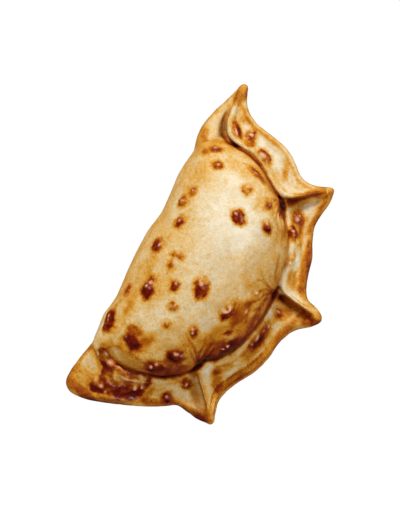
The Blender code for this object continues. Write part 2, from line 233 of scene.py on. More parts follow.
# Blisters: x, y, length, width, turn, rise, brown, how much paler its middle is
blisters = (
    (27.0, 10.8, 8.6, 6.4, 66, 1.0, 0.80, 0.0),
    (-10.4, 8.6, 9.4, 6.6, 14, 1.0, 0.86, 0.0),
    (-8.0, 11.4, 4.4, 3.4, -20, 0.5, 0.60, 0.0),
    (-23.2, 29.7, 8.4, 6.2, 14, 1.0, 0.78, 0.0),
    (-18.6, 30.6, 5.4, 3.2, -10, 0.5, 0.62, 0.2),
    (-44.6, 38.0, 11.6, 8.0, 12, 0.9, 0.84, 0.0),
    (-38.0, 38.4, 5.0, 2.6, -14, 0.3, 0.42, 0.0),
    (-47.0, 23.4, 9.4, 6.2, 62, 0.7, 0.68, 0.0),
    (-45.4, 26.6, 4.8, 4.0, 0, 0.5, 0.50, 0.0),
    (-42.6, 25.4, 8.4, 7.0, 80, 0.3, 0.34, 0.0),
    (-42.4, 3.0, 8.2, 6.4, 80, 1.2, 0.72, 0.55),
    (-28.6, 1.8, 5.0, 4.2, 30, 0.9, 0.74, 0.1),
    (-15.1, 19.8, 5.2, 4.2, 10, 0.8, 0.78, 0.1),
    (-23.4, 15.9, 5.4, 4.6, 30, 0.7, 0.46, 0.35),
    (-32.2, 14.0, 3.6, 3.2, 20, 0.6, 0.50, 0.2),
    (-7.4, 26.1, 4.4, 2.6, 10, 0.5, 0.62, 0.0),
    (-2.7, 26.0, 2.8, 4.8, 10, 0.5, 0.64, 0.0),
    (-3.2, 36.4, 6.4, 5.0, 165, 0.7, 0.66, 0.0),
    (-27.4, 37.4, 5.4, 4.6, 10, 0.5, 0.46, 0.1),
    (11.4, 33.0, 5.8, 4.4, 174, 0.8, 0.70, 0.1),
    (19.8, 36.6, 5.6, 4.8, 10, 0.8, 0.58, 0.2),
    (26.6, 34.8, 3.6, 3.0, 0, 0.7, 0.60, 0.45),
    (42.6, 31.4, 5.2, 4.8, 120, 0.8, 0.60, 0.1),
    (48.9, 35.5, 5.6, 4.0, 125, 0.9, 0.58, 0.1),
    (45.2, 38.8, 3.2, 2.6, 0, 0.2, 0.34, 0.0),
    (39.8, 14.2, 5.6, 5.0, 0, 0.5, 0.46, 0.1),
    (38.7, 1.8, 3.8, 3.0, 0, 0.6, 0.66, 0.1),
    (36.8, 2.4, 2.2, 2.0, 0, 0.2, 0.26, 0.0),
    (29.4, -3.0, 6.0, 4.2, 45, 0.9, 0.80, 0.0),
    (48.4, 13.4, 8.4, 3.2, 74, 0.6, 0.66, 0.1),
    (-13.6, -7.2, 7.4, 5.2, 155, 1.0, 0.86, 0.0),
    (-8.8, -7.8, 4.6, 3.2, 170, 0.3, 0.46, 0.0),
    (1.2, -14.0, 2.6, 2.2, -30, 0.7, 0.22, 0.3),
    (-8.5, -14.2, 3.0, 1.8, 0, 0.5, 0.10, 0.3),
    (-27.5, -14.3, 4.2, 3.6, -20, 1.0, 0.40, 0.5),
    (-52.2, 8.4, 9.0, 7.2, 100, 0.5, 0.66, 0.0),
    (62.0, 32.6, 9.0, 4.6, 50, 0.9, 0.68, 0.0),
    (63.0, 25.0, 5.4, 5.2, 0, 1.1, 0.72, 0.45),
    (59.8, 24.0, 7.0, 5.0, -30, 0.2, 0.52, 0.0),
    (57.6, 14.6, 9.0, 6.2, 70, 1.2, 0.72, 0.30),
    (40.8, -13.2, 7.0, 6.2, 0, 1.1, 0.54, 0.50),
    (34.0, -14.9, 7.4, 4.8, 26, 1.0, 0.74, 0.0),
    (23.8, -20.6, 4.0, 3.2, 0, 0.9, 0.42, 0.3),
    (20.6, -20.8, 3.0, 2.4, 0, 0.6, 0.24, 0.3),
    (-1.6, -27.4, 5.6, 4.0, 70, 0.8, 0.58, 0.2),
    (-10.4, -26.6, 6.0, 4.0, -14, 0.9, 0.42, 0.2),
    (-17.2, -26.6, 8.8, 4.2, -6, 0.9, 0.58, 0.0),
    (-20.6, -24.8, 3.8, 3.2, 0, 0.7, 0.54, 0.0),
    (-61.8, -3.4, 5.0, 4.6, 40, 0.9, 0.76, 0.0),
    (-52.0, -7.6, 5.4, 5.0, 80, 0.8, 0.70, 0.1),
    (-61.2, -24.8, 2.6, 2.4, 0, 0.5, 0.20, 0.4),
    (49.0, -1.6, 1.3, 1.3, 0, 0.0, 0.30, 0.0),
    (53.5, -5.2, 1.3, 1.3, 0, 0.0, 0.30, 0.0),
    (-46.0, 33.8, 1.6, 1.4, 0, 0.0, 0.40, 0.0),
    (29.6, -25.6, 1.4, 1.3, 0, 0.0, 0.40, 0.0),
)

# glints: size factor, a small raised bump, and a painted paler ring round each
glintTop = {"size": 1.15, "rise": 0.42, "paler": 0.24}

# Painted highlights (glints) on the raised tops of the blisters: x, y, length, width, turn, strength
paintedGlints = (
    (27.6, 12.8, 2.6, 1.4, 70, 0.6),
    (26.2, 9.0, 1.6, 1.2, 0, 0.3),
    (-7.9, 10.0, 3.0, 2.2, -20, 0.8),
    (-13.2, 7.4, 1.0, 2.4, 30, 0.35),
    (-21.5, 30.8, 1.8, 1.7, 0, 0.9),
    (-19.3, 30.1, 2.6, 2.2, 0, 0.8),
    (-42.3, 38.5, 2.2, 1.3, 45, 0.8),
    (-44.2, 37.7, 1.8, 1.0, 20, 0.5),
    (-46.3, 27.0, 1.8, 1.4, 20, 0.4),
    (-43.8, 22.0, 1.6, 1.4, 0, 0.5),
    (-41.4, 3.6, 1.8, 3.2, 10, 0.75),
    (-41.0, 0.8, 2.4, 2.2, 0, 0.4),
    (-29.2, 2.0, 1.7, 1.5, 0, 0.7),
    (-27.8, 2.7, 1.5, 1.3, 0, 0.8),
    (-13.7, 20.0, 1.6, 1.5, 0, 0.8),
    (-23.8, 16.8, 1.3, 1.2, 0, 0.7),
    (-22.2, 15.2, 2.8, 1.3, -10, 0.6),
    (-31.4, 14.3, 1.4, 1.3, 0, 0.6),
    (-5.2, 25.6, 4.6, 1.8, 12, 0.8),
    (-2.2, 35.3, 3.0, 1.2, -6, 0.7),
    (-27.4, 36.2, 1.8, 1.2, 0, 0.4),
    (11.9, 33.1, 1.7, 1.3, 0, 0.7),
    (20.4, 36.8, 1.8, 1.3, 20, 0.6),
    (26.8, 35.0, 1.5, 1.3, 0, 0.7),
    (42.9, 31.0, 2.0, 1.6, 120, 0.7),
    (48.9, 36.0, 2.2, 1.7, 120, 0.8),
    (41.2, 14.4, 1.6, 1.8, 0, 0.8),
    (39.2, 13.2, 1.3, 1.2, 0, 0.5),
    (38.9, 1.7, 1.3, 1.2, 0, 0.5),
    (31.0, -1.6, 2.2, 1.4, 45, 0.8),
    (29.8, -3.0, 1.4, 1.0, 40, 0.4),
    (48.3, 14.6, 3.6, 0.9, 74, 0.5),
    (-13.3, -6.1, 3.4, 1.6, -52, 1.0),
    (-11.2, -7.0, 3.2, 1.3, 10, 0.9),
    (1.2, -13.9, 1.9, 1.4, -30, 1.0),
    (-8.5, -14.1, 2.4, 1.3, 0, 0.7),
    (-28.6, -13.7, 1.5, 2.0, 30, 0.8),
    (-26.5, -14.7, 1.6, 2.2, 20, 0.8),
    (-52.7, 10.4, 2.2, 2.1, 0, 0.9),
    (-50.3, 8.8, 1.9, 1.8, 0, 0.9),
    (60.4, 32.0, 4.8, 1.3, 42, 0.9),
    (63.1, 25.1, 2.4, 2.4, 0, 1.0),
    (57.0, 16.0, 3.6, 2.8, 70, 1.0),
    (55.8, 12.8, 2.2, 1.6, 70, 0.5),
    (40.3, -12.9, 3.6, 3.2, 0, 0.7),
    (42.2, -13.4, 1.8, 1.6, 0, 0.6),
    (34.2, -14.2, 2.2, 1.4, 60, 0.8),
    (32.8, -15.6, 1.4, 1.2, 0, 0.5),
    (24.0, -20.4, 1.8, 1.7, 0, 0.4),
    (20.8, -20.6, 1.4, 1.3, 0, 0.4),
    (25.8, -19.4, 1.6, 1.4, 0, 0.3),
    (-1.2, -27.0, 1.3, 2.8, 14, 0.6),
    (-9.0, -26.6, 2.0, 1.6, 10, 0.8),
    (-16.4, -25.2, 4.0, 1.5, 12, 0.8),
    (-20.2, -24.4, 1.7, 1.3, 0, 0.6),
    (-12.0, -25.9, 1.8, 1.1, 20, 0.6),
    (-4.6, -25.4, 1.5, 1.2, 0, 0.5),
    (-61.4, -3.0, 1.9, 1.8, 0, 0.8),
    (-51.7, -8.0, 2.0, 1.7, 0, 0.9),
    (-52.9, -6.2, 1.3, 1.2, 0, 0.5),
    (52.6, 43.2, 3.4, 2.2, 60, 0.3),
)

# Where the glaze has run over the left fold and caramelised
caramel = {
    "outline": (
        (-76.4, 29.6), (-74.6, 31.2), (-71.4, 30.8), (-67.6, 29.4), (-64.8, 29.2),
        (-63.2, 31.8), (-60.6, 34.4), (-57.0, 35.2), (-55.8, 33.0), (-57.6, 29.0),
        (-58.8, 25.6), (-59.6, 21.8), (-59.4, 18.0), (-58.8, 14.4), (-57.8, 11.4), (-57.4, 8.0),
        (-60.0, 6.4), (-65.2, 6.2), (-69.2, 7.6), (-71.6, 11.0), (-73.8, 16.4), (-74.8, 20.4),
        (-76.4, 25.4),
    ),
    "level": 0.92,
    "unevenness": 0.40,
    "coat": 0.25,  # how thick the glaze lies, mm
    "reach": (-54, -57),  # where it ends on the belly, in x
    # x, y, length, width, turn, darker or paler
    "patches": (
        (-75.2, 27.2, 2.8, 8.0, 8, 0.26),
        (-72.0, 17.4, 4.8, 10.0, 24, 0.20),
        (-67.8, 10.0, 8.6, 5.0, -16, 0.38),
        (-63.0, 10.2, 4.0, 4.6, 0, 0.22),
        (-63.4, 29.8, 3.4, 4.4, 30, 0.22),
        (-60.8, 15.8, 3.4, 9.0, 12, -0.12),
        (-66.0, 27.8, 5.0, 3.0, 0, 0.18),
        (-65.6, 22.0, 8.0, 6.6, 50, -0.16),
        (-67.6, 26.4, 6.6, 2.8, -10, -0.04),
        (-62.4, 21.6, 3.0, 7.0, 0, -0.08),
        (-60.0, 25.4, 2.8, 5.0, 0, 0.20),
        (-60.4, 31.6, 4.6, 3.4, 40, -0.20),
    ),
    # x, y, length, width, turn, rise, how much paler; the pale tops are partly the lumps' own cream
    # colour, partly painted highlight
    "lumps": (
        (-71.0, 29.3, 3.6, 2.2, 20, 0.5, 0.8),
        (-72.4, 25.7, 3.0, 3.6, 70, 0.9, 1.0),
        (-73.9, 22.7, 1.8, 1.8, 0, 0.7, 0.9),
        (-65.4, 22.0, 4.4, 3.0, 50, 1.0, 0.55),
        (-61.1, 27.5, 3.6, 4.8, -10, 0.7, 0.6),
        (-57.9, 31.3, 2.2, 2.8, -30, 0.6, 1.0),
        (-65.3, 11.7, 3.8, 3.0, 0, 1.0, 1.0),
        (-59.0, 12.2, 2.4, 3.0, 0, 0.6, 0.9),
        (-69.6, 24.0, 2.0, 2.0, 0, 0.4, 0.35),
        (-69.2, 14.6, 2.2, 2.4, 0, 0.4, 0.15),
        (-70.4, 19.6, 2.4, 2.0, 0, 0.4, 0.15),
        (-66.8, 16.4, 2.2, 2.6, 0, 0.4, 0.25),
    ),
    # thin raised runs with a painted highlight along them: points, width, rise, how much paler
    "runs": (
        (((-64.0, 20.4), (-63.5, 17.6), (-62.9, 14.6), (-62.0, 12.2), (-61.2, 10.4)), 1.0, 0.8, 1.1),
        (((-63.4, 9.0), (-61.4, 9.7), (-58.8, 9.9)), 1.0, 0.6, 1.0),
        (((-59.4, 28.0), (-60.2, 25.6), (-60.9, 21.4), (-60.6, 18.2)), 1.2, 0.8, 0.65),
        (((-68.6, 24.2), (-69.2, 20.8), (-67.6, 18.4), (-65.2, 18.2)), 1.1, 0.6, 0.45),
        (((-74.6, 19.4), (-73.2, 15.0), (-71.0, 10.4), (-68.6, 8.0)), 1.0, 0.4, 0.35),
    ),
}

# Toasting: x, y, length, width, turn, amount. Negative is paler. A few rows are painted light and
# shade instead, as marked.
toast = (
    # belly
    (28, 18, 50, 30, 20, -0.11),
    (24, 5, 26, 14, 20, -0.10),
    (0, 28, 96, 14, 2, 0.09),
    (-19, 26, 16, 12, 0, 0.10),
    (36, 27, 18, 8, 0, 0.06),
    (42, 11, 10, 12, 0, 0.08),
    (4, -3, 24, 14, 10, 0.04),
    (-56, 20, 10, 24, 4, 0.20),
    (-32, 7, 18, 12, 20, 0.13),
    (-15, -18, 24, 6, -4, 0.24),
    (-54, 14, 12, 26, 8, 0.08),
    (-46, 22.6, 13, 14, 60, 0.28),
    (-44.6, 18, 8, 5, -30, 0.16),
    (-48.8, 0.8, 15, 10, 45, 0.46),
    (-46, 12, 18, 16, 20, 0.14),
    (-52, 6, 10, 10, 40, 0.20),
    (-37, -3, 20, 15, -30, 0.27),
    (-50, 37, 26, 10, 6, -0.08),
    (-55, 34, 8, 8, 0, 0.28),
    (-50, 30, 7, 7, 0, 0.10),
    (-43, 33.4, 14, 6, 10, 0.16),
    (-22, 35.4, 40, 8, 2, 0.17),
    (-30, 33.5, 16, 4, 0, 0.12),
    (6, 37, 34, 8, 0, 0.04),
    (2, 41.0, 84, 5.0, 2, 0.05),
    (35, 40.6, 30, 6, 4, 0.04),
    (-50, 31, 10, 7, 0, 0.02),
    (-25, -8, 10, 8, 0, 0.12),
    (-12, -4.6, 12, 6, 0, 0.10),
    (-2, -10, 12, 6, 0, 0.09),
    (36, 5, 8, 8, 0, 0.12),
    (37, 36, 32, 9, 2, 0.16),
    (46, 22, 8, 18, 0, 0.12),
    (50, 26, 10, 30, 0, 0.09),
    (49, 12, 10, 18, 20, 0.10),
    (44, 4, 16, 12, 30, 0.08),
    (36, -5, 24, 10, 38, 0.08),
    (40.0, -5.2, 9, 4.4, 40, 0.44),
    (-4, 35.6, 24, 6, 2, 0.05),
    (14, -13, 40, 12, 12, 0.12),
    (4, -8, 10, 6, 60, 0.10),
    (-9, -13.4, 22, 7, -4, 0.46),
    (-3.6, -13.4, 6, 4, 0, 0.20),
    (-22, -9, 20, 8, -12, 0.22),
    (-31, -13.4, 16, 8, -38, 0.50),
    (-26, -16.6, 12, 5, -24, 0.26),
    (-11, -19.2, 28, 6, -6, 0.16),
    (-9, -19.4, 16, 3, -2, 0.16),
    (2, -18.6, 16, 5, 6, 0.16),
    # sharp corner and end flap
    (47, 43, 12, 5, 14, 0.16),
    (52.6, 44, 9, 5, 10, 0.40),
    (71, 42.0, 18, 3.0, -14, 0.10),
    (70.5, 40.0, 8, 3.0, -4, 0.16),
    (78, 38.6, 12, 7, -10, 0.46),
    (56.6, 2.6, 9, 4.0, 24, 0.34),
    (60.5, 5.0, 5, 5, 0, 0.18),
    (65.4, 33.6, 6, 6, 0, 0.12),
    (59.6, 29.8, 5, 7, 0, 0.26),
    (58.8, 8.8, 8, 9, 0, -0.12),
    # painted shade in the groove between belly and end flap
    (55, 22, 3, 10, 0, 0.12),
    (48, 39.6, 16, 6, 0, 0.06),
    (61.6, 19.6, 6, 6, 0, -0.06),
    (48.6, -5.4, 5, 8, 0, -0.10),
    (66.5, 20, 4, 24, -6, 0.16),
    (70, 33, 4, 10, -40, 0.18),
    (56, -12, 6, 12, 30, 0.04),
    # right flap
    (39, -14.4, 13, 7, 20, 0.32),
    (16, -25.8, 11, 6, 24, 0.38),
    # painted highlight on the lit top of the ridge
    (8.4, -29, 14, 3.2, 100, -0.12),
    (21.6, -23.2, 8, 4.2, 26, -0.26),
    (46.6, -15.4, 9, 4.4, -30, -0.04),
    (24, -20.6, 9, 4, 24, 0.07),
    (34, -19.2, 12, 3.6, 26, 0.36),
    (20, -29.2, 20, 6, 24, 0.32),
    (14.4, -30.6, 7, 6, 30, 0.20),
    (31, -25.2, 22, 4, 26, 0.20),
    (44, -20.4, 16, 3.0, 0, 0.26),
    (56, -20.2, 12, 3.4, -8, 0.34),
    (12, -33, 4, 12, -30, 0.16),
    # front flap
    (-17.4, -26.2, 27, 6.2, -4, 0.36),
    # painted highlight on the lit lip of the front flap
    (-16, -22.6, 26, 3, -6, -0.14),
    (-52.4, -12.0, 15, 5.0, 50, 0.20),
    (-4, -25.0, 10, 3.4, 0, -0.18),
    (-43.8, -19.8, 13, 6, 38, 0.40),
    (-36.8, -19.0, 12, 4.6, -38, 0.30),
    (-40, -12.6, 7, 5, 50, -0.24),
    (-28.6, -22.6, 9, 3.6, -24, 0.08),
    (-35.4, -22.8, 9, 4.6, -50, -0.14),
    (-0.6, -31, 8, 6, -40, 0.28),
    (-39.4, -25.4, 18, 3.6, -22, 0.28),
    (-27, -31.2, 26, 3.4, -18, 0.13),
    (-8, -34.6, 22, 4.4, -14, 0.30),
    (4.6, -44.6, 8, 8, 0, 0.30),
    (2.0, -41.4, 5.5, 8, 20, 0.34),
    # left flap
    (-66, 0, 4, 22, 26, 0.24),
    (-62.0, -15, 4.6, 24, 0, 0.34),
    (-60.4, -1, 6, 13, 22, 0.16),
    (-57, -11, 8, 14, 12, -0.02),
    (-61.2, -26.4, 4, 4, 0, 0.20),
    (-60.6, -22.8, 7, 8, 40, 0.36),
    (-66, -4, 5, 24, 16, 0.16),
    # blunt corner
    (-76, 36, 14, 14, 0, 0.24),
    (-77.4, 19, 24, 4.4, 110, 0.32),
    (-80.2, 29, 5, 22, -14, 0.32),
    (-65.6, 4.6, 9, 3.6, -10, 0.20),
    (-66.6, 34.4, 10, 6, 10, 0.03),
    (-60.4, 37.6, 4, 8, -40, 0.12),
    (-68, 40.5, 18, 3, 0, 0.14),
)

# Painted shade on the belly: x, y, length, width, turn, amount
dull = (
    (16, -10, 56, 20, 14, 0.80),
    (-14, -6, 44, 24, -8, 0.70),
    (-40, 0, 26, 26, 30, 0.75),
    (-36, 10, 16, 14, 0, 0.45),
    (-55.4, 16, 8, 22, 0, 0.65),
    (2, 6, 30, 16, 10, 0.35),
    (48.2, 7.0, 22, 3.6, 60, 1.2),
    (-24, 8, 30, 20, 0, 0.30),
)

# Painted shade on the flaps, beside their ridges
flapShade = (
    (58.8, 38.4, 17, 5.0, 20, 1.9),
    (54.6, 27, 4.4, 22, 4, 1.5),
    (2.8, -29, 4.4, 18, 4, 0.6),
    (-50.2, -15.4, 20, 3.4, 44, 0.7),
    (-75.4, 16, 28, 4.4, 112, 0.9),
    (-3, -36.6, 14, 6, -38, 0.9),
    (-34, -29, 34, 5, -18, 0.6),
    (-60, -21, 5, 12, 10, 1.4),
    (47.6, -11.6, 12, 5, -45, 0.5),
)

# Deep pits where a ridge begins, browned dark inside as painted shade: x, y, length, width, turn,
# depth
pits = (
    (42.6, -3.6, 4.6, 3.0, 44, 0.8),
    (5.6, -21.8, 5.6, 2.4, 12, 1.0),
    (-42.4, -8.2, 6.0, 2.6, -30, 1.0),
)

fanRays = {
    "spread": 7.0,
    "stretch": 0.16,
    "sharpness": 6,
    "depth": 0.50,
    "brown": 0.26,
    "wash": 0.06,  # browning between the wrinkles
}

# Wrinkles that fan from the pits over the belly: x, y, from, to degrees, reach, strength
fans = (
    (43.5, -3.0, 112, 222, 16.0, 0.5),
    (6.0, -21.4, 14, 156, 12.0, 0.5),
    (-42.0, -8.0, -24, 84, 14.0, 0.5),
)

# Creases: points, width, depth, brown; the brown is partly toasting and partly painted shade
creases = (
    # where the flaps meet the belly: dark line, then soft brown beside it, partly painted shade
    (((-58.6, 14.6), (-56.6, 8.0), (-53.0, 1.6), (-48.6, -4.0), (-44.6, -7.4)), 1.0, 0.3, 0.50),
    (((-57.6, 14.6), (-55.4, 8.0), (-51.6, 1.8), (-47.4, -3.4), (-42.6, -6.2)), 2.4, 0.0, 0.18),
    (((-60.2, 30.0), (-60.0, 25.0), (-59.8, 20.0), (-58.8, 15.0)), 0.9, 0.5, 0.24),
    (((-42, -7.4), (-38.4, -8.4), (-34.4, -13.4), (-28.4, -17.4),
      (-20, -20.6), (-12, -22.2), (-3, -22.2), (5, -21.6)), 1.0, 0.40, 0.84),
    (((-41, -7), (-36.6, -8.6), (-32, -13.4), (-27, -16.8),
      (-19, -19.4), (-12, -20.8), (-3, -20.8), (4, -20.4)), 2.4, 0.0, 0.14),
    (((6.0, -21.4), (10, -20.6), (15, -19.4), (22, -18.0),
      (28, -15.2), (33.3, -11.8), (38.8, -6.8), (43, -3.4)), 0.8, 0.35, 0.22),
    (((44.4, -1.8), (46.4, 2.6), (48.6, 6.8), (52.0, 11.8), (53.6, 16.0)), 0.9, 0.4, 0.52),
    (((43.6, -1.0), (44.6, 2.0), (46.4, 5.6)), 2.0, 0.0, 0.12),
    (((53.4, 15.0), (54.5, 20.0), (54.9, 27.0), (55.1, 33.0), (56.7, 36.6)), 1.1, 0.6, 0.60),
    (((55.6, 35.8), (58.6, 38.0), (62.0, 39.2), (66.5, 39.9)), 1.5, 0.9, 0.26),
    (((56.6, 38.8), (60.4, 41.0), (66.0, 41.6)), 3.2, 0.0, 0.06),
    # valleys beside the ridges, browned as painted shade
    (((44.6, -4.6), (48.0, -8.4), (52.0, -12.0), (55.6, -15.6), (58.8, -18.8)), 2.1, 0.4, 0.72),
    (((42.4, -4.4), (44.8, -7.0), (47.6, -10.0)), 2.8, 0.0, 0.32),
    (((5.4, -22.0), (5.2, -28.0), (5.0, -36.0), (4.8, -42.5)), 2.0, 0.4, 0.50),
    (((-44.6, -8.6), (-48.6, -12.8), (-53.0, -17.4), (-58.6, -22.8)), 1.6, 0.4, 0.16),
    # the corner's sheet over the belly
    (((-59.2, 39.0), (-60.8, 36.4), (-63.6, 33.0), (-66.6, 30.4)), 1.2, 0.7, 0.22),
    # wrinkles gathered in the pits
    (((6.2, -19.6), (7.4, -16.0), (8.6, -13.0), (11.4, -10.6)), 0.55, 0.40, 0.14),
    (((6.0, -19.8), (6.6, -16.0), (7.0, -12.6), (5.6, -10.2)), 0.55, 0.40, 0.14),
    (((5.4, -19.8), (4.8, -17.0), (2.6, -14.8), (1.8, -13.6)), 0.55, 0.40, 0.15),
    (((5.0, -20.2), (2.2, -17.6), (-0.8, -16.8), (-3.6, -14.9)), 0.65, 0.40, 0.21),
    (((7.6, -19.6), (9.6, -16.4), (11.4, -14.6), (12.6, -12.6)), 0.55, 0.35, 0.11),
    (((9.0, -20.0), (13.0, -17.6), (18.0, -15.6), (21.6, -14.4)), 1.0, 0.40, 0.18),
    (((41.4, -2.6), (38.4, -3.2), (35.0, -4.6), (32.4, -7.4), (30.6, -9.6)), 0.65, 0.45, 0.14),
    (((41.2, -3.6), (37.4, -5.2), (34.2, -8.0), (30.2, -11.2), (27.4, -12.4)), 0.65, 0.45, 0.14),
    (((41.0, -4.8), (37.6, -7.0), (33.8, -10.2), (29.0, -13.0)), 0.65, 0.40, 0.15),
    (((41.6, -1.6), (38.6, -1.2), (35.8, -2.6), (33.8, -4.4)), 0.55, 0.35, 0.11),
    (((42.6, -0.6), (41.6, 1.6), (41.2, 4.0), (40.2, 5.6)), 0.65, 0.40, 0.13),
    (((-39.6, -6.6), (-36.6, -4.0), (-34.4, -0.8), (-33.0, 2.0), (-31.6, 4.4)), 0.65, 0.50, 0.17),
    (((-39.4, -7.0), (-35.8, -5.6), (-31.6, -5.6), (-28.6, -4.8)), 0.65, 0.45, 0.14),
    (((-38.8, -8.0), (-34.6, -7.8), (-30.8, -8.4), (-26.6, -8.2)), 0.65, 0.45, 0.15),
    (((-40.4, -6.2), (-39.0, -3.6), (-37.6, -1.8)), 0.65, 0.40, 0.14),
    (((-38.0, -9.0), (-34.0, -9.8), (-29.6, -10.0)), 0.65, 0.40, 0.15),
    # cracks
    (((-34.6, -21.4), (-33.4, -23.2), (-32.4, -24.8)), 0.9, 0.5, 0.16),
    (((-22.6, -10.8), (-21.4, -11.9), (-20.0, -13.3)), 0.8, 0.4, 0.40),
    (((-47.6, -15.4), (-50.0, -17.6), (-54.0, -21.0)), 0.8, 0.3, 0.10),
    (((31.4, -24.4), (33.0, -23.6), (34.4, -22.7)), 0.8, 0.3, 0.34),
    (((30.6, 8.2), (33.4, 6.8), (36.6, 5.6)), 0.7, 0.2, 0.10),
    (((40.4, -11.8), (40.9, -14.0)), 0.7, 0.4, 0.30),
    (((47.4, 9.6), (48.6, 12.6), (49.6, 15.8)), 0.8, 0.4, 0.24),
)


def smoothStep(low, high, value):
    t = np.clip((value - low) / (high - low), 0, 1)
    return t * t * (3 - 2 * t)


def within(core, edge, far):
    # 1 up to the core, 0 from the edge on
    return 1 - smoothStep(core, edge, far)


def bell(offset, width):
    return np.exp(-((offset / width) ** 2))


def heading(turn):
    return math.cos(math.radians(turn)), math.sin(math.radians(turn))


def spline(rows, count, closed=False, measure=2):
    # centripetal curve through the rows, read off evenly along its first columns
    knots = np.array(rows, float)
    if closed:
        knots = np.vstack([knots[-1:], knots, knots[:2]])
    else:
        knots = np.vstack([2 * knots[0] - knots[1], knots, 2 * knots[-1] - knots[-2]])
    dense = []
    steps = np.linspace(0, 1, 24, endpoint=False)[:, None]
    square, cube = steps**2, steps**3
    for before, start, end, after in zip(knots[:-3], knots[1:-2], knots[2:-1], knots[3:]):
        pairs = ((before, start), (start, end), (end, after))
        first, own, last = (math.dist(a[:measure], b[:measure]) ** 0.5 for a, b in pairs)
        leave = (start - before) / first - (end - before) / (first + own) + (end - start) / own
        arrive = (end - start) / own - (after - start) / (own + last) + (after - end) / last
        dense.append(
            (2 * cube - 3 * square + 1) * start
            + (cube - 2 * square + steps) * leave * own
            + (3 * square - 2 * cube) * end
            + (cube - square) * arrive * own
        )
    dense = np.vstack([*dense, knots[-2][None]])
    run = runOf(dense[:, :measure])
    at = np.linspace(0, run[-1], count, endpoint=not closed)
    return np.stack([np.interp(at, run, column) for column in dense.T], axis=1)


def runOf(line):
    # length along a line up to each of its points
    return np.concatenate([[0], np.cumsum(np.linalg.norm(np.diff(line, axis=0), axis=1))])


def loft(rings):
    # points and faces of a closed skin through equal rings
    size, rows = len(rings[0]), len(rings)
    faces = []
    for row in range(rows - 1):
        for i in range(size):
            j = (i + 1) % size
            near, far = row * size, (row + 1) * size
            faces.append((near + i, near + j, far + j, far + i))
    faces.append(tuple(reversed(range(size))))
    faces.append(tuple((rows - 1) * size + i for i in range(size)))
    return np.vstack(rings), faces


def bellyRings():
    edge = spline(belly["outline"], belly["sides"], closed=True)
    middle, top = np.array(belly["crown"][:2]), belly["crown"][2]
    reach = np.linalg.norm(edge - middle, axis=1)
    spoke = (edge - middle) / reach[:, None]
    oval = 1 / np.hypot(spoke[:, 0] / belly["crownOval"][0], spoke[:, 1] / belly["crownOval"][1])
    back = 1 / (1 + np.exp(-(edge[:, 1] - 26) / 4))
    girth = belly["girthFront"] + (belly["girthBack"] - belly["girthFront"]) * back
    power = 2 / belly["wallPower"]
    rings = []

    def ring(radius, height):
        rings.append(np.column_stack([middle + spoke * radius[:, None], height]))

    for step in (0.3, *range(1, belly["rings"] + 1)):
        angle = math.pi / 2 * step / belly["rings"]
        out = math.sin(angle) ** power
        up = math.cos(angle) ** power if step < belly["rings"] else 0.0
        ring(out * (oval + (reach - oval) * out**2), girth + (top - girth) * up)
    for angle in (10, 20, 30, 42, 54, 66, 78, 90):
        c, s = heading(angle)
        ring(reach - belly["footInset"] * (1 - c), girth * (1 - s))
    return rings


def flapSection(lip, fold, lipHeight, foldHeight):
    # one slice across a flap: points, how far each is from the lip, and the flap's width
    width = math.dist(lip, fold)
    outward = (fold - lip) / width
    width += flaps["foldEase"]
    bottom = flaps["bottom"]
    lipRound = min(flaps["lipRadius"], 0.32 * width, 0.45 * (lipHeight - bottom))
    foldRound = min(flaps["foldRadius"], 0.45 * width)
    halfFold = (foldHeight - bottom) / 2
    root = max(flaps["rootLeast"], min(flaps["root"], 0.6 * width))
    profile = [(-root, bottom + 0.1), (-root, min(flaps["rootHeight"], 0.5 * lipHeight))]
    for angle in range(235, 89, -12):
        c, s = heading(angle)
        profile.append((lipRound * (1 + c), lipHeight - lipRound * (1 - s)))
    for share in np.linspace(0, 1, 14)[1:-1]:
        across = lipRound + (width - lipRound - foldRound) * share
        dip = flaps["valley"] * min(1, width / 10) * math.sin(math.pi * share)
        profile.append((across, lipHeight + (foldHeight - lipHeight) * share**0.8 - dip))
    for angle in range(90, -91, -12):
        c, s = heading(angle)
        profile.append((width - foldRound * (1 - c), bottom + halfFold * (1 + s)))
    points = [(lip[0] + outward[0] * a, lip[1] + outward[1] * a, z) for a, z in profile]
    return np.array(points), np.array([a for a, z in profile]), width


def ball(x, y, length, width, turn, top):
    middle, half = (top + flaps["bottom"]) / 2, (top - flaps["bottom"]) / 2
    around = np.linspace(0, 2 * math.pi, 40, endpoint=False)
    c, s = heading(turn)
    rings = []
    for polar in np.linspace(0.04, math.pi - 0.04, 25):
        u = math.sin(polar) * np.cos(around) * length / 2
        v = math.sin(polar) * np.sin(around) * width / 2
        z = np.full(len(around), middle + math.cos(polar) * half)
        rings.append(np.column_stack([x + u * c - v * s, y + u * s + v * c, z]))
    return rings


def looseDough():
    # every layer of dough as one mesh of overlapping skins, and a map of what lies where
    points, faces, places = [], [], []

    def add(rings):
        base = sum(len(part) for part in points)
        corners, quads = loft(rings)
        points.append(corners)
        faces.extend(tuple(base + i for i in face) for face in quads)

    def mark(ring, *values):
        # layer, along, across and width at each point of a ring
        marks = [np.broadcast_to(value, len(ring)) for value in values]
        places.append(np.column_stack([ring, *marks]))

    rings = bellyRings()
    add(rings)
    for ring in rings:
        mark(ring, 0, ring[:, 0], 0, 1)
    for number, stations in enumerate(flaps["stations"].values(), 1):
        length = sum(math.dist(a[:4], b[:4]) for a, b in zip(stations, stations[1:]))
        rows = spline(stations, round(length * flaps["rowsPerMm"]), measure=4)
        slices = [flapSection(row[:2], row[2:4], row[4], row[5]) for row in rows]
        add([ring for ring, across, width in slices])
        for (ring, across, width), run in zip(slices, runOf(rows[:, 2:4])):
            mark(ring, number, run, across, width)
    for row in pinches:
        add(ball(*row))
    mesh = bpy.data.meshes.new("looseDough")
    mesh.from_pydata(np.vstack(points).tolist(), [], faces)
    return mesh, np.vstack(places)


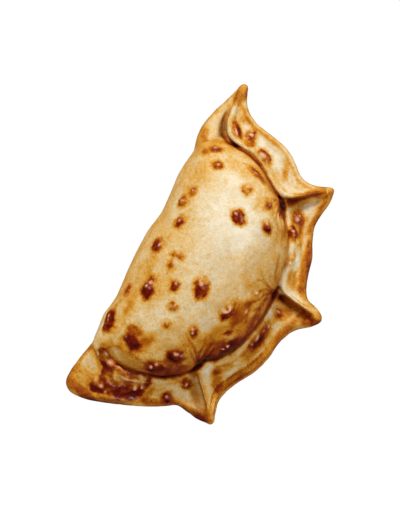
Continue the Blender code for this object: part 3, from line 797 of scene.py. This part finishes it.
def oneSkin(mesh):
    # a single skin round all the overlapping ones
    holder = bpy.data.objects.new("holder", mesh)
    bpy.context.scene.collection.objects.link(holder)
    modifier = holder.modifiers.new("skin", "REMESH")
    modifier.mode = "VOXEL"
    modifier.voxel_size = skin["voxel"]
    graph = bpy.context.evaluated_depsgraph_get()
    result = bpy.data.meshes.new_from_object(holder.evaluated_get(graph))
    bpy.data.objects.remove(holder)
    bpy.data.meshes.remove(mesh)
    return result


def readOff(rows, key, count):
    flat = np.empty(count * 3, np.float32)
    rows.foreach_get(key, flat)
    return flat.reshape(-1, 3).astype(float)


def positions(mesh):
    return readOff(mesh.vertices, "co", len(mesh.vertices))


def normals(mesh):
    return readOff(mesh.vertex_normals, "vector", len(mesh.vertices))


def move(mesh, points):
    mesh.vertices.foreach_set("co", points.astype(np.float32).ravel())
    mesh.update()


def surfaceTree(mesh, points):
    return BVHTree.FromPolygons(points.tolist(), [polygon.vertices[:] for polygon in mesh.polygons])


class Weave:
    # the edges of a mesh, to spread values over it
    def __init__(self, mesh):
        pairs = np.empty(len(mesh.edges) * 2, np.int64)
        mesh.edges.foreach_get("vertices", pairs)
        self.a, self.b = pairs.reshape(-1, 2).T
        self.count = len(mesh.vertices)
        self.degree = np.maximum(np.bincount(pairs, minlength=self.count), 1)

    def average(self, values):
        total = np.bincount(self.a, values[self.b], self.count)
        total += np.bincount(self.b, values[self.a], self.count)
        return total / self.degree

    def blur(self, values, rounds, amount=0.5):
        if values.ndim == 2:
            return np.stack([self.blur(column, rounds, amount) for column in values.T], axis=1)
        for _ in range(rounds):
            values = values + amount * (self.average(values) - values)
        return values


def cloud(points, size, seed, octaves=1):
    # smooth noise about 0, mostly within -0.5 and 0.5
    total, weight, scale = np.zeros(len(points)), 1.0, 1.0 / size
    for _ in range(octaves):
        shifted = points * scale + (seed, seed * 1.7, seed * 0.6)
        total += weight * np.array([noise.noise(Vector(p)) for p in shifted])
        weight, scale, seed = weight * 0.5, scale * 2.1, seed + 3.1
    return total * 0.75


def lineDistance(points, line, fineness=40):
    # distance in plan from a smooth line, and the place along it from 0 to 1
    path = spline(line, fineness)
    far = np.maximum(path.min(axis=0) - points[:, :2], points[:, :2] - path.max(axis=0)).max(axis=1)
    near, share = np.full(len(points), 50.0), np.zeros(len(points))
    close = np.flatnonzero(far < 9)
    gaps = np.linalg.norm(points[close, None, :2] - path[None, :, :], axis=2)
    nearest = gaps.argmin(axis=1)
    near[close] = gaps[np.arange(len(close)), nearest]
    share[close] = nearest / (fineness - 1)
    return near, share


def oval(points, x, y, length, width, turn):
    # distance from a spot's middle in plan, 1 at its edge
    c, s = heading(turn)
    dx, dy = points[:, 0] - x, points[:, 1] - y
    return np.hypot((dx * c + dy * s) / (length / 2), (dy * c - dx * s) / (width / 2))


def insideOf(points, line):
    # how far inside a closed outline in plan, negative outside
    path = spline(line, 160, closed=True)
    near = np.sqrt(((points[:, None, :2] - path[None]) ** 2).sum(axis=2)).min(axis=1)
    crossings = np.zeros(len(points), int)
    for start, end in zip(path, np.roll(path, -1, axis=0)):
        spans = (start[1] > points[:, 1]) != (end[1] > points[:, 1])
        slope = (end[0] - start[0]) / (end[1] - start[1] + 1e-12)
        crossings += spans & (points[:, 0] < start[0] + (points[:, 1] - start[1]) * slope)
    return np.where(crossings % 2 == 1, near, -near)


def closeHollows(mesh, weave, points):
    # sharp hollows fill up like soft dough, ridges stay
    rounds = np.full(len(points), float(skin["fillRounds"]))
    for *place, more in mended:
        rounds = np.maximum(rounds, more * within(0.7, 1.1, oval(points, *place)))
    for step in range(int(rounds.max())):
        if step % 6 == 0:
            move(mesh, points)
            up = normals(mesh)
        gap = np.stack([weave.average(column) for column in points.T], axis=1) - points
        rise = np.maximum((gap * up).sum(axis=1), 0) * np.clip(rounds - step, 0, 1)
        points = points + up * rise[:, None]
    return points


def buildDough():
    mesh, places = looseDough()
    mesh = oneSkin(mesh)
    weave = Weave(mesh)
    points = weave.blur(positions(mesh), skin["smoothRounds"])
    print("dough skin:", len(points), "points")

    lookUp = KDTree(len(places))
    for i, place in enumerate(places):
        lookUp.insert(place[:3], i)
    lookUp.balance()
    found = places[[lookUp.find(p)[1] for p in points]]
    layer, along, across, width = found[:, 3:7].T
    isBelly = weave.blur((layer == 0).astype(float), 3)
    onFlap = 1 - isBelly

    points = weave.blur(closeHollows(mesh, weave, points), 2)
    move(mesh, points)
    facing = weave.blur(normals(mesh), 4)
    facing /= np.linalg.norm(facing, axis=1)[:, None]
    upward = smoothStep(-0.1, 0.25, facing[:, 2])

    relief = cloud(points, skin["swellSize"], 2.0) * skin["swell"] * (0.4 + 0.6 * isBelly)
    relief += cloud(points, skin["rippleSize"], 5.0, 2) * skin["ripple"] * 2
    gloss, thin, spots, spotTone, paler, shadeAmount = np.zeros((6, len(points)))
    spotEdge = np.full(len(points), -3.0)
    wobble, wobbleBroad, lumpy = (cloud(points, *row) for row in skin["wobbles"])
    warp = [skin["warp"] * cloud(points, skin["warpSize"], seed, 3) for seed in (31.0, 47.0)]

    # base toasting of each layer, then painted shade on parts of the belly and flaps
    bake = skin["bellyToast"] * isBelly
    rimmed = smoothStep(4.6, 0.8, width - across) * smoothStep(5, 9, width)
    rimmed *= smoothStep(-0.7, -0.2, facing[:, 2])
    for number, (base, rim) in enumerate(flaps["toasted"], 1):
        bake += weave.blur((layer == number).astype(float), 3) * (base + rim * rimmed)
    for *place, amount in toast:
        far = oval(points, *place) + wobbleBroad * 0.45 + wobble * 0.25
        bake += amount * within(0.45, 1.35, far)
    # painted shade; an amount above 1 darkens further
    for rows, share, ragged in ((dull, isBelly, 0.4), (flapShade, onFlap, 0.3)):
        for *place, amount in rows:
            far = oval(points, *place) + wobbleBroad * ragged
            shadeAmount = np.maximum(shadeAmount, amount * within(0.5, 1.3, far) * share)

    # along a flap: a rounded lip with fine lines, a shallow channel and a rolled outer edge
    flat = onFlap * (layer != 5) * upward
    wide = smoothStep(6, 10, width) * flat
    fromFold = width - across
    for inset, size, rise in flaps["rolls"]:
        relief += rise * bell(inset - fromFold, size) * wide
    inset, size, rise = flaps["lipLine"]
    relief += rise * bell(across - inset, size) * wide
    endFlap = layer == 1
    band = bell(fromFold - np.where(endFlap, 2.6, 3.4), np.where(endFlap, 0.8, 1.6)) * wide
    bake += band * np.where(endFlap, 0.28, 0.10 + wobbleBroad * 0.20)
    bake += 0.12 * bell(across - 3.6, 0.8) * wide * (0.5 + wobble)
    bake += bell(across - 1.4, 1.3) * flat * np.where(layer == 3, 0.05, -0.06)
    doubled = wide * (layer == 3) * smoothStep(*flaps["rimLinesFrom"], along)
    for inset, size, brown in flaps["rimLines"]:
        line = bell(inset - fromFold, size) * doubled
        bake += brown * line
        relief -= flaps["rimLineDepth"] * line
    # steep walls and rims are browned, partly as toasting and partly as painted shade
    steepToastAndShade, more = skin["steepToastAndShade"]
    bake += (steepToastAndShade + more * onFlap) * smoothStep(0.75, 0.15, facing[:, 2])

    for x, y, start, end, reach, strength in fans:
        dx, dy = points[:, 0] - x, points[:, 1] - y
        far, angle = np.hypot(dx, dy), (np.degrees(np.arctan2(dy, dx)) + 90) % 360 - 90
        inside = smoothStep(start - 14, start + 6, angle) * within(end - 6, end + 14, angle)
        fade = strength * inside * isBelly
        fade = fade * within(reach * 0.35, reach * 1.1, far) * smoothStep(0.5, 2.5, far)
        spread, stretch = np.radians(angle) * fanRays["spread"], far * fanRays["stretch"]
        rays = np.column_stack([spread, stretch, np.full(len(points), x)])
        ridged = 1 - np.minimum(np.abs(cloud(rays, 1.0, 7.0, 2)) * fanRays["sharpness"], 1)
        relief -= fanRays["depth"] * fade * (ridged - 0.35)
        bake += fade * (fanRays["brown"] * (ridged - 0.25) + fanRays["wash"])
    for line, size, depth, brown in creases:
        near, share = lineDistance(points, line)
        ends = smoothStep(0, 0.06, share) * smoothStep(1, 0.94, share)
        ends = upward * (ends * 0.6 + 0.4)
        relief -= depth * bell(near, size * 0.55) * ends
        relief += 0.3 * depth * bell(near - size * 1.3, size * 0.6) * ends
        # the brown along seams, valleys and grooves is partly painted shade
        bake += brown * bell(near * (1 + wobble * 0.5), size) * ends
    for *place, depth in pits:
        far = oval(points, *place) + wobble * 0.3
        relief -= depth * within(0.2, 1.3, far)
        # painted shade: the pit is browned dark
        bake += 0.9 * within(0.4, 1.6, far)

    # caramelised glaze
    depthIn = insideOf(points, caramel["outline"]) + warp[0] * 1.4
    cornerSide = onFlap + smoothStep(*caramel["reach"], points[:, 0])
    zone = smoothStep(-0.9, 0.7, depthIn) * upward * smoothStep(0, 1, cornerSide)
    inner = caramel["level"] + caramel["unevenness"] * cloud(points, 5.0, 61.0, 2)
    for *place, amount in caramel["patches"]:
        inner += amount * within(0.4, 1.4, oval(points, *place) + wobble * 0.5)
    bake += 0.20 * smoothStep(-2.6, -0.2, depthIn) * (1 - zone) * upward
    glazeEdge = np.clip(np.where(zone + upward * (depthIn > -3) > 0.02, depthIn, -3), -3, 3)
    glazeEdge = np.where((cornerSide > 0.5) & (upward > 0.3), glazeEdge, -3)
    relief += zone * (caramel["coat"] + lumpy * 0.25 + wobble * 0.6)
    gloss = np.maximum(gloss, zone)
    # the lumps' pale tops: their own cream colour and painted highlight
    for *place, rise, pale in caramel["lumps"]:
        far = oval(points, *place) + wobble * 0.25
        relief += rise * within(0.2, 1.15, far) * upward
        inner -= 0.30 * pale * within(0.5, 1.7, far + wobble * 0.4)
        thin = np.maximum(thin, pale * within(0.1, 0.95, far) * upward)
    # painted highlight along each run
    for line, size, rise, pale in caramel["runs"]:
        near = lineDistance(points, line)[0]
        mask = bell(near, size * 0.6) * upward * np.clip(0.7 + wobble * 2.0, 0, 1)
        relief += rise * mask
        inner -= 0.26 * pale * bell(near, 1.6)
        thin = np.maximum(thin, pale * mask)

    # blisters, seated square to the dough under them
    tree = surfaceTree(mesh, points)

    def spot(x, y, length, width, turn):
        # distance from a spot's middle over the surface, 1 at its edge
        seat = np.array(tree.ray_cast(Vector((x, y, 90)), Vector((0, 0, -1)))[0])
        up = facing[np.argmin(np.linalg.norm(points - seat, axis=1))]
        side = np.array((*heading(turn), 0.0))
        side -= up * side.dot(up)
        side /= np.linalg.norm(side)
        gap = points - seat
        ragged = min(1.0, width / 5)
        u, v = gap @ side + warp[0] * ragged, gap @ np.cross(up, side) + warp[1] * ragged
        near = (np.abs(gap @ up) < 3.5) & (facing @ up > 0.1)
        return np.where(near, np.hypot(u / (length / 2), v / (width / 2)), 9.0)

    for *place, rise, brown, pale in blisters:
        far = spot(*place)
        relief += rise * within(*blister["dome"], far) * (1 + lumpy * blister["lumpy"])
        where, size, depth = blister["moat"]
        relief -= depth * rise * bell(far - where, size)
        inward = np.clip((1 - far) * min(place[2:4]) / 2, -3, 5)
        halo, core = smoothStep(*blister["halo"], inward), smoothStep(*blister["core"], inward)
        tone = halo * blister["haloShare"] + core * (1 - blister["haloShare"])
        stronger = brown * tone > spots
        spots = np.where(stronger, brown * tone, spots)
        spotTone = np.where(stronger, brown, spotTone)
        spotEdge = np.where(stronger, inward, spotEdge)
        paler = np.maximum(paler, pale * brown * within(*blister["pale"], far))
        shiny = within(*blister["shiny"], far) * min(1, 0.2 + brown) * (rise > 0)
        gloss = np.maximum(gloss, shiny)
    # painted highlights: a small bump, the glint colour and a paler ring round it
    for x, y, length, breadth, turn, strength in paintedGlints:
        far = spot(x, y, length * glintTop["size"], breadth * glintTop["size"], turn)
        relief += glintTop["rise"] * strength * within(0.1, 1.3, far)
        thin = np.maximum(thin, strength * within(0.2, 1.15, far))
        paler = np.maximum(paler, glintTop["paler"] * strength * within(0.8, 2.1, far))

    # on steep walls the toasting is spread, so that no stripes run down them
    bake += (weave.blur(bake, 8) - bake) * within(0.25, 0.60, facing[:, 2])

    points = points + facing * relief[:, None] * (0.15 + 0.85 * upward)[:, None]
    points[:, 2] = np.maximum(points[:, 2], 0)
    points = weave.blur(points, 1, 0.3)
    points[:, 2] = np.maximum(points[:, 2], 0)
    move(mesh, points)
    print("relief done")

    shade = openness(mesh, points, weave)
    print("open sky", np.percentile(shade, (1, 5, 10, 25, 50, 75)).round(2))
    for name, values in {
        "bake": bake,
        "spotTone": spotTone,
        "spotEdge": spotEdge,
        "paler": paler,
        "gloss": gloss,
        "thin": thin,
        "dull": shadeAmount,
        "glazeEdge": weave.blur(glazeEdge, 1),
        "glazeLevel": inner,
        "open": shade,
        "under": smoothStep(-0.35, -0.8, normals(mesh)[:, 2]),
        "along": weave.blur(along, 8) * 0.001,
        "across": across * 0.001,
        "onFlap": onFlap,
    }.items():
        layerData = mesh.attributes.new(name, "FLOAT", "POINT")
        layerData.data.foreach_set("value", values.astype(np.float32))

    # set on its place, in metres
    low, high = points.min(axis=0), points.max(axis=0)
    middle = (low + high) / 2
    target = (np.array(solidLow) + np.array(solidHigh)) / 2
    place = (target[0], target[1], solidLow[2])
    move(mesh, (points - (middle[0], middle[1], low[2])) * 0.001 + place)
    return mesh


def openness(mesh, points, weave, rays=20, reach=14.0):
    # how much of the sky over each point is free of dough close by: 1 is all
    tree = surfaceTree(mesh, points)
    up = normals(mesh)
    directions = []
    for i in range(rays):
        z = 1 - (i + 0.5) / rays * 0.92
        out, around = math.sqrt(1 - z * z), i * math.pi * (3 - math.sqrt(5))
        directions.append((out * math.cos(around), out * math.sin(around), z))
    helper = np.where(np.abs(up[:, [2]]) < 0.9, (0.0, 0.0, 1.0), (1.0, 0.0, 0.0))
    side = np.cross(helper, up)
    side /= np.linalg.norm(side, axis=1)[:, None]
    other = np.cross(up, side)
    total = np.zeros(len(points))
    start = points + up * 0.25
    for a, b, c in directions:
        way = side * a + other * b + up * c
        for i in range(len(points)):
            hit = tree.ray_cast(start[i], way[i], reach)[3]
            total[i] += c if hit is None else c * hit / reach
    total /= sum(c for a, b, c in directions)
    return weave.blur(total, 2)


class Wire:
    # a socket that sums can be written with
    def __init__(self, tree, socket=None):
        self.tree, self.socket = tree, socket

    def node(self, kind, settings=None, inputs=None, output=0):
        made = self.tree.nodes.new(kind)
        for key, value in (settings or {}).items():
            if key == "stops":
                ramp = made.color_ramp
                while len(ramp.elements) < len(value):
                    ramp.elements.new(1.0)
                for element, (place, colour) in zip(ramp.elements, value):
                    element.position, element.color = place, (*colour, 1.0)
            else:
                setattr(made, key, value)
        for key, value in (inputs or {}).items():
            if isinstance(value, Wire):
                self.tree.links.new(value.socket, made.inputs[key])
            else:
                made.inputs[key].default_value = value
        return Wire(self.tree, made.outputs[output])

    def math(self, operation, *values):
        return self.node("ShaderNodeMath", {"operation": operation}, dict(enumerate(values)))

    def __add__(self, other):
        return self.math("ADD", self, other)

    def __radd__(self, other):
        return self.math("ADD", other, self)

    def __sub__(self, other):
        return self.math("SUBTRACT", self, other)

    def __rsub__(self, other):
        return self.math("SUBTRACT", other, self)

    def __mul__(self, other):
        return self.math("MULTIPLY", self, other)

    def __rmul__(self, other):
        return self.math("MULTIPLY", other, self)

    def step(self, low, high):
        inputs = {"Value": self, "From Min": low, "From Max": high}
        return self.node("ShaderNodeMapRange", {"interpolation_type": "SMOOTHSTEP"}, inputs)

    def blend(self, first, second, how):
        # the first colour where this is 0, the second where it is 1
        settings = {"data_type": "RGBA", "blend_type": how, "clamp_factor": True}
        return self.node("ShaderNodeMix", settings, {0: self, 6: first, 7: second}, 2)


def fromScreen(*tone):
    # a colour as a screen shows it, 0 to 255, as light
    shares = [value / 255 for value in tone]
    return tuple(((c + 0.055) / 1.055) ** 2.4 if c > 0.04 else c / 12.92 for c in shares)


crust = {
    "span": 1.4,  # toasting from 0 to this goes from one end of the colours to the other
    "tones": (
        (0.00, (250, 236, 206)),
        (0.12, (242, 219, 176)),
        (0.25, (236, 199, 134)),
        (0.38, (230, 172, 76)),
        (0.50, (218, 146, 36)),
        (0.62, (196, 110, 12)),
        (0.75, (168, 76, 4)),
        (0.90, (144, 42, 2)),
        (1.05, (112, 20, 2)),
        (1.35, (54, 5, 1)),
    ),
    # painted shade: the colour of the deepest crevices
    "crevice": (42, 14, 6),
    # pale skin colour of the caramel lumps, also the colour of the painted glints
    "glintAndPaleSkin": (244, 192, 152),
    # these multiply the colour where they apply; rimTone is the crust's own colour, the other three
    # are painted shade
    "rimTone": (0.97, 1.26, 1.24),
    "paintedShadeTone": (0.80, 0.77, 0.73),
    "shadedTone": (0.52, 0.42, 0.36),
    "shadeWarmth": (0.92, 0.66, 0.42),
    # grain: size in mm, detail, roughness, distortion
    "broad": (16.0, 3.0, 0.55, 0.0),
    "patch": (5.0, 4.0, 0.6, 0.4),
    "mottle": (1.7, 4.0, 0.65, 0.0),
    "fine": (0.8, 2.0, 0.6, 0.0),
    "ragged": (2.4, 2.0, 0.5, 0.0),
    "swirl": (5.0, 2.0, 0.5, 1.0),
    "streak": (1.5, 3.0, 0.6, 0.0),
    "freckle": (2.2, 2.0, 0.5, 0.0),
    "freckled": (9.0, 1.0, 0.55, 0.0),
    "streakStretch": 0.16,
    # what toasts the crust more or less, and by how much; hollow is painted shade in the hollows
    "grainToast": {"broad": 0.22, "patch": 0.32, "mottle": 0.32},
    "moreToast": {"fine": 0.44, "streak": 0.30, "under": 0.30, "freckle": 0.12, "hollow": 0.18},
    "spotGrain": {"mottle": 1.1, "patch": 1.1},
    "syrupGrain": {"swirl": 1.1, "mottle": 0.4},
    # what stands up in the fine relief, and by how much
    "relief": {"fine": 0.22, "mottle": 0.42, "patch": 0.45, "streak": 0.35},
    "glazeRelief": {"swirl": 1.2, "mottle": 0.8},
    "syrupDarkest": 1.12,
    "roughness": 0.46,
    "glossRoughness": 0.30,
    "bump": 0.75,
    "bumpDepth": 0.0006,
    "finish": {
        "Coat Roughness": 0.26,
        "IOR": 1.45,
        "Specular IOR Level": 0.24,
        "Specular Tint": (1.0, 0.78, 0.62, 1.0),
    },
}


def addUp(wires, amounts):
    # the wires named in the amounts, each times its amount
    first, *rest = (wires[name] * amount for name, amount in amounts.items())
    return sum(rest, first)


def crustMaterial():
    material = bpy.data.materials.new("bakedDough")
    material.use_nodes = True
    tree = material.node_tree
    surface = tree.nodes["Principled BSDF"]
    start = Wire(tree)
    place = start.node("ShaderNodeTexCoord", output=3)

    def attribute(name):
        return start.node("ShaderNodeAttribute", {"attribute_name": name}, output=2)

    def grain(name, vector=place):
        size, detail, rough, distortion = crust[name]
        inputs = {"Vector": vector, "Scale": 1000 / size, "Detail": detail}
        inputs.update({"Roughness": rough, "Distortion": distortion})
        return start.node("ShaderNodeTexNoise", {}, inputs)

    bake, gloss, thin, shadeAmount = map(attribute, ("bake", "gloss", "thin", "dull"))
    spotTone, spotEdge, paler = map(attribute, ("spotTone", "spotEdge", "paler"))
    onFlap, free, across = map(attribute, ("onFlap", "open", "across"))

    # streaks run along the flaps
    along = attribute("along") * crust["streakStretch"]
    flow = start.node("ShaderNodeCombineXYZ", {}, {0: along, 1: across, 2: 0.0})
    streak = (grain("streak", flow) - 0.5) * across.step(0.016, 0.010) * onFlap
    names = ("broad", "patch", "mottle", "fine", "ragged", "swirl")
    marks = {name: grain(name) - 0.5 for name in names}
    mottle, fine = marks["mottle"], marks["fine"]
    marks["streak"] = streak
    marks["under"] = attribute("under")
    marks["freckle"] = grain("freckle").step(0.64, 0.74) * grain("freckled").step(0.45, 0.62)
    # painted shade: browner where less sky is open
    marks["hollow"] = free.step(0.55, 0.20)

    # how far each place is toasted, with painted shade in the hollows
    calm = 1 - gloss * 0.35
    level = bake + addUp(marks, crust["grainToast"]) * calm + addUp(marks, crust["moreToast"])
    ragged = marks["ragged"] * 1.2 + fine * 0.15
    core = (spotEdge + ragged * 1.2).step(-0.4, 1.0)
    halo = (spotEdge + ragged * 1.6).step(-1.7, 0.0)
    spots = spotTone * (halo * 0.40 + core * (addUp(marks, crust["spotGrain"]) + 0.64)) - paler
    level = level + spots * (1.08 - bake * 0.5)
    glazed = (attribute("glazeEdge") + ragged * 1.6).step(-0.8, 0.8)
    syrup = attribute("glazeLevel") + addUp(marks, crust["syrupGrain"])
    level = level + (syrup.math("MINIMUM", syrup, crust["syrupDarkest"]) - level) * glazed

    span = crust["span"]
    stops = [(share / span, fromScreen(*tone)) for share, tone in crust["tones"]]
    colour = start.node("ShaderNodeValToRGB", {"stops": stops}, {0: level * (1 / span)})
    rimmed = level.step(0.50, 0.90) * (1 - halo) * (1 - glazed) * (onFlap * 0.65 + 0.35)
    paleSkinAndGlintMask = (thin + mottle * 0.7 + fine * 0.5).step(0.05, 0.95) * 0.92
    for mask, how, tone in (
        (rimmed, "MULTIPLY", crust["rimTone"]),
        # painted shade, and deeper painted shade where the amount goes above 1
        (shadeAmount, "MULTIPLY", crust["paintedShadeTone"]),
        (shadeAmount - 1.0, "MULTIPLY", crust["shadedTone"]),
        # pale skin and painted highlights on blister tops, caramel lumps and runs
        (paleSkinAndGlintMask, "MIX", fromScreen(*crust["glintAndPaleSkin"])),
        # painted shade: warmer and darker where less sky is open
        (free.step(0.85, 0.35) * 0.7, "MULTIPLY", crust["shadeWarmth"]),
        # painted shade: the crevice colour where almost no sky is open
        (free.step(0.32, 0.06) * 0.92, "MIX", fromScreen(*crust["crevice"])),
    ):
        colour = mask.blend(colour, (*tone, 1.0), how)

    shine = gloss.step(0.15, 0.9)
    roughness = shine * (crust["glossRoughness"] - crust["roughness"]) + crust["roughness"]
    height = addUp(marks, crust["relief"]) + addUp(marks, crust["glazeRelief"]) * glazed
    lift = {"Strength": crust["bump"], "Distance": crust["bumpDepth"], "Height": height}
    for key, wire in {
        "Base Color": colour,
        "Roughness": roughness + mottle * 0.12,
        "Coat Weight": shine * 0.14 + glazed * 0.3,
        "Normal": start.node("ShaderNodeBump", {}, lift),
    }.items():
        tree.links.new(wire.socket, surface.inputs[key])
    for key, value in crust["finish"].items():
        surface.inputs[key].default_value = value
    return material


studio = {
    "floorReach": 3.0,
    "floorDrop": 0.0002,
    "floorGlow": 0.98,
    "floorTone": 0.06,
    "sky": 0.14,
    "backLight": (0.84, 0.66, 1.00, 0.45, 12.6),  # x, y, z, size, watts
    "frontLight": (0.66, -0.84, 1.00, 0.45, 6.0),
    "leftLight": (-0.95, 0.20, 1.00, 0.60, 3.6),
    "overhead": (0.0, 0.0, 1.3, 1.2, 1.1),
    "distance": 1.5,
    "frameHeight": 0.2361,
    "planeHeight": 0.010,
    "look": (0.00366, 0.01744),
    "right": (0.51067, -0.85978, 0),  # the way the picture's right side points
    "up": (0.85978, 0.51067, 0),
}


def makeFloor():
    reach = studio["floorReach"]
    corners = [(-reach, -reach, 0), (reach, -reach, 0), (reach, reach, 0), (-reach, reach, 0)]
    mesh = bpy.data.meshes.new("floor")
    mesh.from_pydata(corners, [], [(0, 1, 2, 3)])
    floor = bpy.data.objects.new("floor", mesh)
    floor.location.z = -studio["floorDrop"]
    bpy.context.scene.collection.objects.link(floor)
    material = bpy.data.materials.new("paleFloor")
    material.use_nodes = True
    inputs = material.node_tree.nodes["Principled BSDF"].inputs
    inputs["Base Color"].default_value = (*(studio["floorTone"],) * 3, 1)
    inputs["Roughness"].default_value = 0.9
    inputs["Emission Color"].default_value = (1, 1, 1, 1)
    inputs["Emission Strength"].default_value = studio["floorGlow"]
    mesh.materials.append(material)
    floor.visible_glossy = False


def softLight(name, glossy):
    x, y, z, size, power = studio[name]
    data = bpy.data.lights.new(name, "AREA")
    data.shape = "DISK"
    data.size = size
    data.energy = power
    light = bpy.data.objects.new(name, data)
    bpy.context.scene.collection.objects.link(light)
    light.location = (x, y, z)
    light.rotation_mode = "QUATERNION"
    light.rotation_quaternion = Vector((x, y, z)).to_track_quat("Z", "Y")
    light.visible_glossy = glossy


def makeStudio():
    scene = bpy.context.scene
    makeFloor()
    for name in ("backLight", "frontLight", "leftLight", "overhead"):
        softLight(name, name in ("backLight", "frontLight"))
    world = bpy.data.worlds.new("studio")
    world.cycles_visibility.glossy = False
    world.use_nodes = True
    inputs = world.node_tree.nodes["Background"].inputs
    inputs["Color"].default_value = (1, 1, 1, 1)
    inputs["Strength"].default_value = studio["sky"]
    scene.world = world
    scene.view_settings.view_transform = "Standard"

    # the camera looks straight down, turned so that the sharp corner points up and a little right
    data = bpy.data.cameras.new("camera")
    data.lens = data.sensor_width * studio["distance"] / studio["frameHeight"]
    data.clip_start, data.clip_end = 0.05, 20
    camera = bpy.data.objects.new("camera", data)
    scene.collection.objects.link(camera)
    turn = Matrix((studio["right"], studio["up"], (0, 0, 1))).transposed().to_4x4()
    turn.translation = Vector((*studio["look"], studio["planeHeight"] + studio["distance"]))
    camera.matrix_world = turn
    scene.camera = camera


def main():
    makeStudio()
    print("studio ready")
    mesh = buildDough()
    mesh.name = "empanadaDough"
    mesh.materials.clear()
    mesh.materials.append(crustMaterial())
    mesh.shade_smooth()
    dough = bpy.data.objects.new("empanadaDough", mesh)
    bpy.context.scene.collection.objects.link(dough)
    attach(dough, "root")
    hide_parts("empanada")
    bpy.context.view_layer.update()
    print("dough ready:", len(mesh.polygons), "faces")


main()
